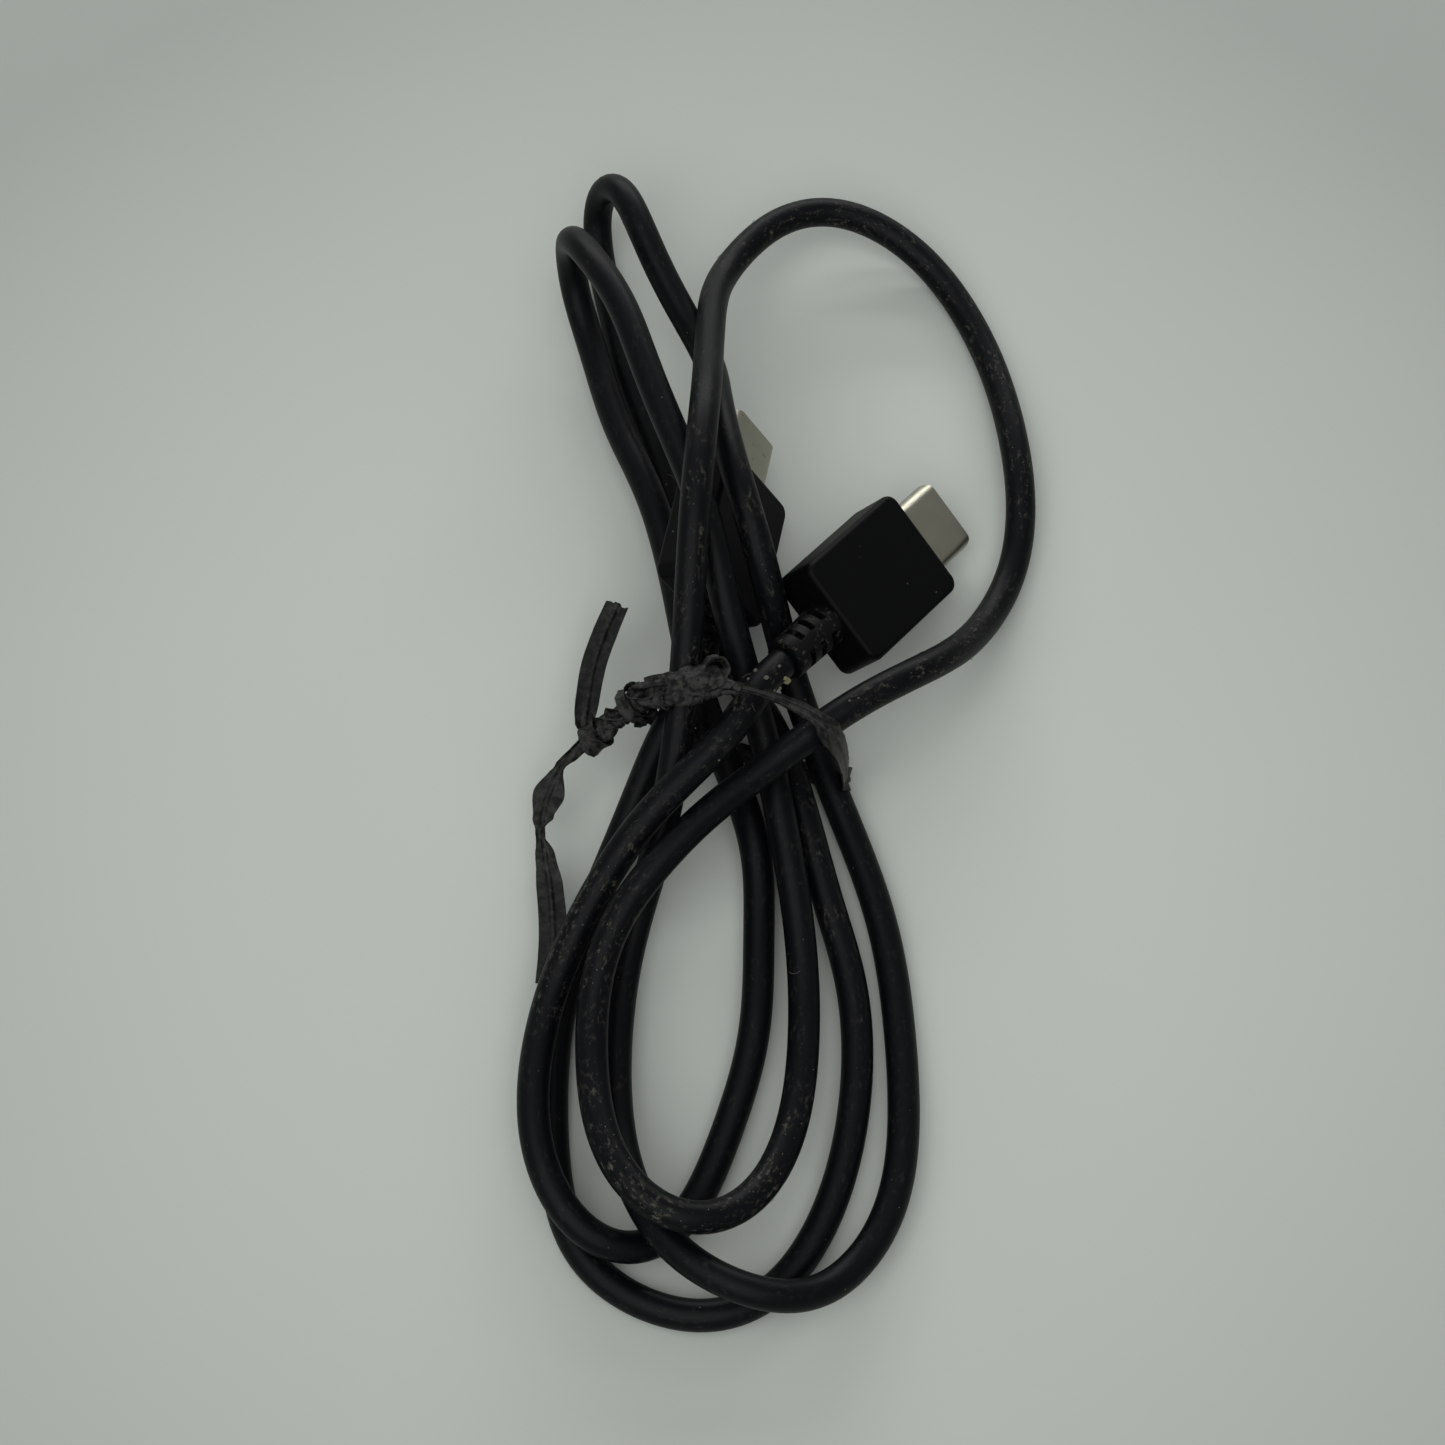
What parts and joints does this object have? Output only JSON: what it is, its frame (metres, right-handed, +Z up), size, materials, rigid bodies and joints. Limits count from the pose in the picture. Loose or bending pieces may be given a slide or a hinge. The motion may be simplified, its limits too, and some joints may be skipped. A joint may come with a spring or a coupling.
{
  "type": "charging cable",
  "caption": "Slim round charging cable with reversible plugs at both ends, folded into a long pinched hank and held by a twist tie round its waist.",
  "frame": {"origin": "middle of the hank's footprint, on the surface that it lies on", "axes": "+Y along the hank, from its lower loops to its upper loops; +Z up; +X towards the wide open loop"},
  "size_m": [0.0533, 0.1268, 0.0237],
  "materials": {
    "jacket": "matte thermoplastic elastomer, dusty",
    "hood_plastic": "satin moulding",
    "soft_plastic": "satin soft moulding",
    "plug_steel": "nickel plated, worn",
    "housing_plastic": "moulded",
    "gold_plate": "gold plated",
    "spring_steel": "bright stamped sheet",
    "board": "glass epoxy laminate with solder mask",
    "ceramic": "ceramic chip with tinned ends",
    "tin_plate": "tin plated sheet",
    "inner_mould": "low pressure moulding",
    "wire_insulation": "coloured insulation",
    "tie_plastic": "pressed ribbon, slightly shiny",
    "tie_wire": "galvanised"
  },
  "bodies": {
    "root": {"hood_a": "hood_plastic", "strain_relief_a": "soft_plastic", "shell_a": "plug_steel", "front_housing_a": "housing_plastic", "upper_contacts_a": "gold_plate", "lower_contacts_a": "gold_plate", "latch_plate_a": "spring_steel", "ground_springs_a": "spring_steel", "contact_carrier_a": "housing_plastic", "paddle_board_a": "board", "bypass_capacitor_a": "ceramic", "inner_shield_a": "tin_plate", "crimp_ferrule_a": "tin_plate", "inner_mould_a": "inner_mould", "jacket_end_a": "jacket", "wires_a": "wire_insulation", "hood_b": "hood_plastic", "strain_relief_b": "soft_plastic", "shell_b": "plug_steel", "front_housing_b": "housing_plastic", "upper_contacts_b": "gold_plate", "lower_contacts_b": "gold_plate", "latch_plate_b": "spring_steel", "ground_springs_b": "spring_steel", "contact_carrier_b": "housing_plastic", "paddle_board_b": "board", "bypass_capacitor_b": "ceramic", "inner_shield_b": "tin_plate", "crimp_ferrule_b": "tin_plate", "inner_mould_b": "inner_mould", "jacket_end_b": "jacket", "wires_b": "wire_insulation", "cable": "jacket", "tie_ribbon": "tie_plastic", "tie_wire": "tie_wire"}
  },
  "joints": []
}
